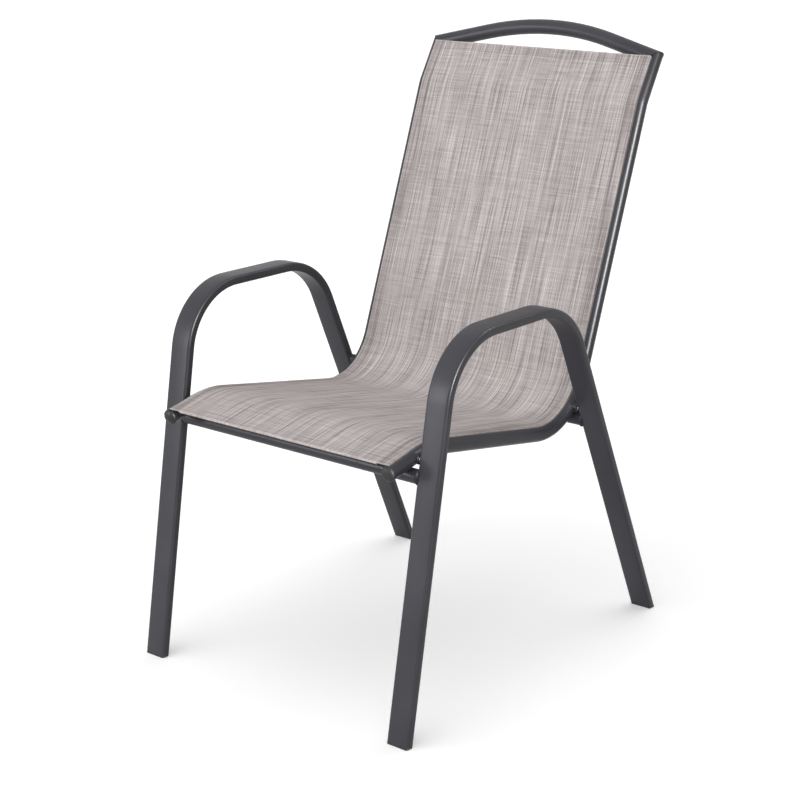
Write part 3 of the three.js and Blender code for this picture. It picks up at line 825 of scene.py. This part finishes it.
def make_bolt(side, end):
    """A button-head bolt: a hexagonal socket, bridged to its rim, then the dome and the shank."""
    bm = bmesh.new()
    socket = bmesh.ops.create_circle(bm, cap_ends=True, radius=SOCKET_RADIUS, segments=SOCKET_SIDES)
    rim = edges_of(bmesh.ops.extrude_edge_only(bm, edges=bm.edges[:])["geom"])
    bmesh.ops.translate(bm, vec=UPRIGHT * -SOCKET_DEPTH, verts=socket["verts"])
    crown = round_ring(bm, BOLT_FLAT)
    bmesh.ops.bridge_loops(bm, edges=rim + crown)
    profile = [(BOLT_HEAD_RADIUS - BOLT_CROWN * inset, BOLT_CROWN * fall) for inset, fall in BOLT_DOME]
    profile += [(BOLT_HEAD_RADIUS, BOLT_HEAD_HEIGHT), (BOLT_RADIUS, BOLT_HEAD_HEIGHT)]
    profile.append((BOLT_RADIUS, BOLT_HEAD_HEIGHT + BOLT_LENGTH))
    radius, depth = BOLT_FLAT, 0
    for next_radius, next_depth in profile:
        made = bmesh.ops.extrude_edge_only(bm, edges=crown)["geom"]
        moved, crown = verts_of(made), edges_of(made)
        bmesh.ops.scale(bm, vec=(next_radius / radius, next_radius / radius, 1), verts=moved)
        bmesh.ops.translate(bm, vec=UPRIGHT * (depth - next_depth), verts=moved)
        radius, depth = next_radius, next_depth
    close_end(bm, crown)
    # It was made with its head up, and it is laid with its shank outwards.
    bmesh.ops.transform(bm, matrix=Matrix.Scale(-1, 4, ACROSS) @ SIDEWAYS, verts=bm.verts[:])
    join_up(bm)
    set_across(bm, side, WASHER_X - TOUCH_GAP - BOLT_HEAD_HEIGHT, bolt_place(end))
    piece = finish_piece(f"button_head_bolt_{end}_{side}", bm, ZINC)
    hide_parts(f"bolt_{end}_{side}")


def make_washer(side, end):
    bm = bmesh.new()
    outline = [
        (0, BOLT_HOLE), (0, WASHER_RADIUS - WASHER_EDGE), (WASHER_EDGE, WASHER_RADIUS),
        (WASHER_THICKNESS - WASHER_EDGE, WASHER_RADIUS),
        (WASHER_THICKNESS, WASHER_RADIUS - WASHER_EDGE), (WASHER_THICKNESS, BOLT_HOLE), (0, BOLT_HOLE),
    ]
    spun(bm, outline)
    set_across(bm, side, WASHER_X, bolt_place(end))
    piece = finish_piece(f"flat_washer_{end}_{side}", bm, ZINC)
    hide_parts(f"washer_{end}_{side}")


def make_spacer(side, end):
    """A plastic ring between rail and leg, with its inner end hollowed to sit on the round rail."""
    bm = bmesh.new()
    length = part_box(f"spacer_{end}_left")[1][0] - RAIL_X
    outline = [
        (0, BOLT_HOLE), (0, SPACER_RADIUS), (length - SPACER_EDGE, SPACER_RADIUS),
        (length, SPACER_RADIUS - SPACER_EDGE), (length, BOLT_HOLE), (0, BOLT_HOLE),
    ]
    spun(bm, outline)
    set_across(bm, side, RAIL_X, bolt_place(end))
    near, along = rail_point_near(bolt_place(end))
    for vert in bm.verts:
        if abs(abs(vert.co.x) - RAIL_X) < TOUCH_GAP:
            offset = Vector((0, vert.co.y, vert.co.z)) - near
            high = (offset - along * offset.dot(along)).length
            reach = math.sqrt(max(0, (RAIL_RADIUS + TOUCH_GAP) ** 2 - high**2))
            vert.co.x = SIDES[side] * (RAIL_X + reach)
    piece = finish_piece(f"saddle_spacer_{end}_{side}", bm, BLACK)
    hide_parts(f"spacer_{end}_{side}")


def make_rail_cap(side):
    """A plug for a rail's front end: a domed head, and a stem that is cut flat under the hem pocket."""
    bm = bmesh.new()
    bore = RAIL_RADIUS - RAIL_WALL - TOUCH_GAP
    spun(bm, [(-CAP_HEAD / 2, 0), (-CAP_HEAD / 2, bore), (CAP_STEM, bore), (CAP_STEM, 0)])
    close_end(bm, slice_off(bm, UPRIGHT * CAP_STEM_LEVEL, UPRIGHT))
    turns = [QUARTER * step / DOME_STEPS for step in range(DOME_STEPS + 1)]
    brim = CAP_HEAD - CAP_DOME
    head = [(-brim - CAP_DOME * math.cos(turn), RAIL_RADIUS * math.sin(turn)) for turn in turns]
    spun(bm, [*head, (0, RAIL_RADIUS), (0, 0)])
    front = rail_corners(SIDES[side] * RAIL_X)[0]
    forward = side_direction(RAIL_RISES[0])
    matrix = place_on(front - forward * TOUCH_GAP, forward, ACROSS, ACROSS.cross(forward))
    bmesh.ops.transform(bm, matrix=matrix, verts=bm.verts[:])
    face_outwards(bm)
    piece = finish_piece(f"domed_rail_plug_{side}", bm, BLACK)
    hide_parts(f"rail_end_cap_{side}")


def make_foot_cap(side, end):
    """A plug with a level sole, as large as the leg's cut end."""
    bm = bmesh.new()
    low, high = foot(side, end), knee(side, end)
    along = (high - low).normalized()
    depth = LOOP_DEPTH * math.hypot(along.y, along.z) / along.z
    ring = flat_oval_ring(bm, LOOP_WIDTH, depth, LOOP_CORNER)
    sole = bmesh.ops.contextual_create(bm, geom=ring)["faces"]
    made = bmesh.ops.extrude_face_region(bm, geom=sole)["geom"]
    bmesh.ops.translate(bm, vec=UPRIGHT * FOOT_HEIGHT, verts=verts_of(made))
    face_outwards(bm)
    rims = [edge for edge in bm.edges if abs(edge.verts[0].co.z - edge.verts[1].co.z) < FOOT_EDGE]
    bmesh.ops.bevel(
        bm, geom=rims, offset=FOOT_EDGE, offset_type="OFFSET", segments=FOOT_EDGE_SEGMENTS, profile=0.5,
        affect="EDGES", clamp_overlap=True, material=-1,
    )
    lid = max(bm.faces, key=lambda face: face.calc_center_median().z)
    wall = LOOP_WALL + TOUCH_GAP - FOOT_EDGE
    bmesh.ops.inset_region(bm, faces=[lid], thickness=wall, use_even_offset=True)
    made = bmesh.ops.extrude_face_region(bm, geom=[lid])["geom"]
    bmesh.ops.delete(bm, geom=[lid], context="FACES_ONLY")
    bmesh.ops.translate(bm, vec=UPRIGHT * FOOT_PLUG, verts=verts_of(made))
    # The cap leans with its leg, and its sole stays level.
    shear = Matrix.Identity(4)
    shear[0][2] = along.x / along.z
    shear[1][2] = along.y / along.z
    bmesh.ops.transform(bm, matrix=Matrix.Translation(low) @ shear, verts=bm.verts[:])
    join_up(bm)
    piece = finish_piece(f"plugged_foot_{end}_{side}", bm, BLACK)
    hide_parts(f"foot_cap_{end}_{side}")


# Sling


def sling_line():
    """The corners of the line that the cloth is carried along, from its front edge to its top edge."""
    return rail_corners(0, SLING_FRONT_SETBACK, SLING_TOP_SETBACK)


def sling_ends():
    """Each end of the cloth, front and top: its place, the way in along the cloth, and off its face."""
    line = sling_line()
    ends = []
    for corner, next_corner in ((line[0], line[1]), (line[-1], line[-2])):
        inwards = (next_corner - corner).normalized()
        upward = inwards.cross(ACROSS)
        ends.append((corner, inwards, -upward if upward.z < 0 else upward))
    return ends


def hem_outline():
    """Half of the cloth in section, from the middle out: over the rail, down its slot, round the rod,
    up again, and back under itself. Each point is (beyond the rail's centre, over it)."""
    fold = (SLOT_OFFSET - FOLD_ROUNDING, CLOTH_RISE - FOLD_ROUNDING)
    neck = math.asin(SLOT_OFFSET / POCKET_RADIUS)
    corner = (-SLOT_OFFSET - HEM_ROUNDING, HEM_RISE - HEM_ROUNDING)
    return [
        (-RAIL_X, CLOTH_RISE),
        *round_over(fold, FOLD_ROUNDING, QUARTER, 0, SLOT_FOLD_STEPS),
        *round_over((0, POCKET_RISE), POCKET_RADIUS, QUARTER - neck, neck - 3 * QUARTER, POCKET_STEPS),
        *round_over(corner, HEM_ROUNDING, 0, QUARTER, HEM_STEPS),
        (-HEM_WIDTH, HEM_RISE),
    ]


def cloth_chain(bm, ruler_across):
    """The cloth's section as a chain of edges, measured along itself from its middle, and its width."""
    outline = hem_outline()
    half = [(0, CLOTH_RISE, 0)]
    walked = 0
    for start, end in zip(outline, outline[1:]):
        gap = math.dist(start, end)
        count = max(1, round(gap / CLOTH_STEP_ACROSS))
        for step in range(1, count + 1):
            share = step / count
            x = RAIL_X + start[0] + (end[0] - start[0]) * share
            rise = start[1] + (end[1] - start[1]) * share
            half.append((x, rise, walked + gap * share))
        walked += gap
    other_half = [(-x, rise, -measured) for x, rise, measured in half[:0:-1]]
    verts = []
    for x, rise, measured in other_half + half:
        vert = bm.verts.new((x, rise, 0))
        vert[ruler_across] = measured
        verts.append(vert)
    return [bm.edges.new(pair) for pair in zip(verts, verts[1:])], 2 * walked


def add_rulers(bm):
    """Layers that measure how far each point lies across the cloth and along it."""
    return bm.verts.layers.float.new("across"), bm.verts.layers.float.new("along")


def map_cloth(bm, ruler_across, ruler_along):
    """Lays the cloth's map out in metres, as it was cut."""
    layer = bm.loops.layers.uv.new("cloth")
    for face in bm.faces:
        for loop in face.loops:
            loop[layer].uv = (loop.vert[ruler_across], loop.vert[ruler_along])


def thicken(piece):
    solid = piece.modifiers.new("cloth thickness", "SOLIDIFY")
    solid.thickness = CLOTH_THICKNESS
    solid.offset = 0
    solid.use_even_offset = True


def make_sling():
    """The cloth itself, carried along the rails' line, with its two side hems."""
    bm = bmesh.new()
    ruler_across, ruler_along = add_rulers(bm)
    chain, width = cloth_chain(bm, ruler_across)
    corners = sling_line()
    stand_section(bm, chain, corners[0], corners[1] - corners[0], -ACROSS)
    last = carry(bm, chain, route(corners, RAIL_BEND_RADII), CLOTH_RUN, CLOTH_TURN, ruler_along)
    middle = min(corners_of(last), key=lambda vert: abs(vert[ruler_across]))
    length = middle[ruler_along]
    map_cloth(bm, ruler_across, ruler_along)
    face_outwards(bm)
    widest = max(bm.faces, key=lambda face: (face.calc_area(), face.calc_center_median().z))
    if widest.normal.z < 0:
        bmesh.ops.reverse_faces(bm, faces=bm.faces[:])
    mesh_cloth = woven_mesh("woven_mesh", length)
    cloth = finish_piece("woven_sling", bm, mesh_cloth, math.pi)
    thicken(cloth)
    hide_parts("sling")
    return cloth, mesh_cloth, width, length


def make_end_hem(name, place, fold, cloth, from_edge, to_edge):
    """The layer that is turned under at the front or at the top: between the side hems the whole of
    it, and over each side hem its fold."""
    corner, inwards, upward = place
    bm = bmesh.new()
    ruler_across, ruler_along = add_rulers(bm)
    section = round_over((0, CLOTH_RISE - fold), fold, QUARTER, 3 * QUARTER, END_FOLD_STEPS)
    section.append((END_HEM, HEM_RISE))
    between_layers = (0, (CLOTH_RISE + HEM_RISE) / 2)
    over_side_hem = round_over(between_layers, CORNER_FOLD, QUARTER, 3 * QUARTER, END_FOLD_STEPS)
    half = RAIL_X - HEM_WIDTH - HEM_ROUNDING
    strips = ((section, -half, half), (over_side_hem, -RAIL_X, -half), (over_side_hem, half, RAIL_X))
    for outline, start, end in strips:
        verts = []
        for reach, rise in outline:
            vert = bm.verts.new(corner + inwards * reach + upward * rise + ACROSS * start)
            vert[ruler_along] = from_edge + (to_edge - from_edge) * max(0, reach) / END_HEM
            verts.append(vert)
        chain = [bm.edges.new(pair) for pair in zip(verts, verts[1:])]
        carry(bm, chain, [("run", ACROSS * (end - start))], CLOTH_RUN)
    for vert in bm.verts:
        vert[ruler_across] = vert.co.x
    map_cloth(bm, ruler_across, ruler_along)
    face_outwards(bm)
    piece = finish_piece(name, bm, cloth, math.pi)
    thicken(piece)
    return piece


def walk_cloth(pitch):
    """Places along the cloth, one pitch apart on its top, as matrices: X across, Y up, Z onwards."""
    corners = sling_line()
    onwards = (corners[1] - corners[0]).normalized()
    place = place_on(corners[0], ACROSS, ACROSS.cross(onwards), onwards)
    top = Vector((0, CLOTH_RISE, 0))
    walked, due = 0, pitch
    for step in route(corners, RAIL_BEND_RADII):
        if step[0] == "run":
            count = math.ceil(step[1].length / WALK_STEP)
            move = Matrix.Translation(step[1] / count)
        else:
            centre, axis, turn = step[1:]
            count = math.ceil(turn * (place @ top - centre).length / WALK_STEP)
            bend = Matrix.Rotation(turn / count, 4, axis)
            move = Matrix.Translation(centre) @ bend @ Matrix.Translation(-centre)
        for _ in range(count):
            after = move @ place
            gone = ((after @ top) - (place @ top)).length
            while walked + gone >= due:
                yield place.lerp(after, (due - walked) / gone)
                due += pitch
            walked += gone
            place = after


def copy_stitches(bm, places):
    """Copies one stitch, a small closed bead of thread, to every place."""
    bead = bmesh.new()
    round_it, along_it = STITCH_SEGMENTS
    bmesh.ops.create_uvsphere(bead, u_segments=round_it, v_segments=along_it, radius=1)
    half_sizes = (STITCH_WIDTH / 2, STITCH_HEIGHT / 2, STITCH_LENGTH / 2)
    bmesh.ops.scale(bead, vec=half_sizes, verts=bead.verts[:])
    face_outwards(bead)
    one = bpy.data.meshes.new("stitch")
    bead.to_mesh(one)
    bead.free()
    for place in places:
        copy = one.copy()
        copy.transform(place)
        bm.from_mesh(copy)
        bpy.data.meshes.remove(copy)
    bpy.data.meshes.remove(one)


def make_stitches():
    """Rows of stitches along the side hems, and across the front and top hems."""
    surface = CLOTH_RISE + CLOTH_THICKNESS / 2
    along = list(walk_cloth(STITCH_PITCH))[:-1]
    places = []
    for sign in SIDES.values():
        for seam in SIDE_SEAMS:
            beside = Matrix.Translation(Vector((sign * (RAIL_X - seam), surface, 0)))
            places += [place @ beside for place in along]
    half = RAIL_X - SIDE_SEAMS[-1] - STITCH_PITCH
    count = int(2 * half / STITCH_PITCH)
    for (corner, inwards, upward), seams in zip(sling_ends(), (FRONT_SEAMS, TOP_SEAMS)):
        for seam in seams:
            for i in range(count + 1):
                x = -half + 2 * half * i / count
                start = corner + ACROSS * x + inwards * seam + upward * surface
                places.append(place_on(start, ACROSS, upward, ACROSS.cross(upward)) @ SIDEWAYS)
    bm = bmesh.new()
    copy_stitches(bm, places)
    return finish_piece("hem_stitches", bm, THREAD, math.pi)


for side_name in SIDES:
    make_side_loop(side_name)
    make_seat_rail(side_name)
    make_rail_cap(side_name)
    make_mitre_weld(side_name)
    for end_name in ENDS:
        make_foot_cap(side_name, end_name)
        make_bolt(side_name, end_name)
        make_washer(side_name, end_name)
        make_spacer(side_name, end_name)
    for end_name in ENDS:
        make_bar_weld(end_name, side_name)
for end_name in ENDS:
    make_crossbar(end_name)
make_top_arch()
sling_cloth, mesh_cloth, cut_width, cut_length = make_sling()
front_end, top_end = sling_ends()
edge_hems = [
    make_end_hem("front_turned_hem", front_end, FRONT_FOLD, mesh_cloth, 0, -END_HEM),
    make_end_hem("top_turned_hem", top_end, TOP_FOLD, mesh_cloth, cut_length, cut_length + END_HEM),
]
stitches = make_stitches()

# CAD nodes that stay: the rods in the hem pockets and the threaded inserts in the legs.
for side_name in SIDES:
    kept = [(f"spline_{side_name}", ROD)]
    kept += [(f"threaded_insert_{end}_{side_name}", ZINC) for end in ENDS]
    for node_name, finish in kept:
        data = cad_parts[node_name].data
        data.materials.clear()
        data.materials.append(finish)


# Studio

FLOOR_SIZE = 30
FLOOR_GLOW = 0.25  # what the camera sees of the floor besides the light that falls on it
FLOOR_COLOUR = 0.55  # as the chair is lit by it
FLOOR_SHARE = 0.96  # as it is seen
SKY_LIGHT = 0.30  # from every side, on matt surfaces; gloss mirrors plain white instead
# More of it from in front, from overhead and from behind: (direction, strength, how narrow)
SKY_LOBES = (
    (Vector((-0.20, -0.97, 0.10)), 1.75, 2),
    (UPRIGHT, 1.45, 8),
    (Vector((-0.10, 0.99, 0.05)), 0.9, 3),
)
# Softboxes, seen in gloss only: (name, direction from the chair, distance, width, height, radiance)
SOFTBOXES = (
    ("tall_strip", Vector((0.958, -0.274, 0.265)), 4, 0.60, 0.9, 430),
    ("back_strip", Vector((0.53, 0.56, 0.65)), 3.6, 0.60, 0.8, 45),
    ("left_softbox", Vector((-0.49, -0.865, 0.12)), 3.5, 0.60, 1.4, 30),
)
LIGHT_TARGET = Vector((0, 0, 0.75))


def seen_or_mirrored(tree):
    """1 for the rays that show the background: from the camera, off gloss and through glass."""
    path = tree.nodes.new("ShaderNodeLightPath")
    total = math_node(tree, "ADD", path.outputs["Is Camera Ray"], path.outputs["Is Glossy Ray"])
    total = math_node(tree, "ADD", total, path.outputs["Is Transmission Ray"])
    return math_node(tree, "MINIMUM", total, 1)


def make_floor():
    material, tree, shader = new_material("white_floor")
    tree.nodes.remove(shader)
    shown = seen_or_mirrored(tree)
    glow = tree.nodes.new("ShaderNodeEmission")
    tree.links.new(math_node(tree, "MULTIPLY", shown, FLOOR_GLOW), glow.inputs["Strength"])
    matt = tree.nodes.new("ShaderNodeBsdfDiffuse")
    grey = spread(tree, shown, 0, 1, FLOOR_COLOUR, FLOOR_SHARE)
    tree.links.new(grey, matt.inputs["Color"])
    both = tree.nodes.new("ShaderNodeAddShader")
    tree.links.new(glow.outputs["Emission"], both.inputs[0])
    tree.links.new(matt.outputs["BSDF"], both.inputs[1])
    tree.links.new(both.outputs["Shader"], tree.nodes["Material Output"].inputs["Surface"])
    bm = bmesh.new()
    bmesh.ops.create_grid(bm, x_segments=1, y_segments=1, size=FLOOR_SIZE / 2)
    floor = mesh_object("studio_floor", bm, material)


def make_sky():
    world = bpy.data.worlds.new("studio")
    bpy.context.scene.world = world
    world.use_nodes = True
    tree = world.node_tree
    background = tree.nodes["Background"]
    direction = tree.nodes.new("ShaderNodeTexCoord").outputs["Generated"]
    light = SKY_LIGHT
    for toward, strength, narrowness in SKY_LOBES:
        facing = tree.nodes.new("ShaderNodeVectorMath")
        facing.operation = "DOT_PRODUCT"
        tree.links.new(direction, facing.inputs[0])
        facing.inputs[1].default_value = toward.normalized()
        lobe = math_node(tree, "MAXIMUM", facing.outputs["Value"], 0)
        light = add_share(tree, light, math_node(tree, "POWER", lobe, narrowness), strength)
    shown = seen_or_mirrored(tree)
    lit = math_node(tree, "MULTIPLY", light, math_node(tree, "SUBTRACT", 1, shown))
    tree.links.new(math_node(tree, "ADD", lit, shown), background.inputs["Strength"])
    background.inputs["Color"].default_value = (1, 1, 1, 1)


def make_softbox(name, toward, distance, width, height, radiance):
    lamp = bpy.data.lights.new(name, "AREA")
    lamp.shape = "RECTANGLE"
    lamp.size = width
    lamp.size_y = height
    lamp.energy = radiance * math.pi * width * height
    light = new_object(name, lamp)
    light.location = LIGHT_TARGET + toward.normalized() * distance
    light.rotation_euler = toward.to_track_quat("Z", "Y").to_euler()
    light.visible_camera = False
    light.visible_diffuse = False


# Camera, at the photograph's viewpoint

VIEW_TARGET = Vector((0, -22.38 * MM, 441 * MM))
VIEW_DISTANCE = 2879 * MM
PLACE_ANGLES = (math.radians(38.14), math.radians(16.09))
LOOK_ANGLES = (math.radians(38.48), math.radians(16.88))
LENS = 79.8  # in millimetres, as the sensor's width is
SENSOR = 36


def back_from(azimuth, elevation):
    """From what is looked at towards the camera."""
    level = math.cos(elevation)
    return Vector((math.sin(azimuth) * level, -math.cos(azimuth) * level, math.sin(elevation)))


def make_camera():
    lens = bpy.data.cameras.new("studio_camera")
    lens.lens = LENS
    lens.sensor_width = SENSOR
    camera = new_object("studio_camera", lens)
    place = VIEW_TARGET + back_from(*PLACE_ANGLES) * VIEW_DISTANCE
    back = back_from(*LOOK_ANGLES)
    right = UPRIGHT.cross(back).normalized()
    camera.matrix_world = place_on(place, right, back.cross(right), back)
    bpy.context.scene.camera = camera


make_floor()
make_sky()
for softbox in SOFTBOXES:
    make_softbox(*softbox)
make_camera()
bpy.context.scene.view_settings.view_transform = "Standard"
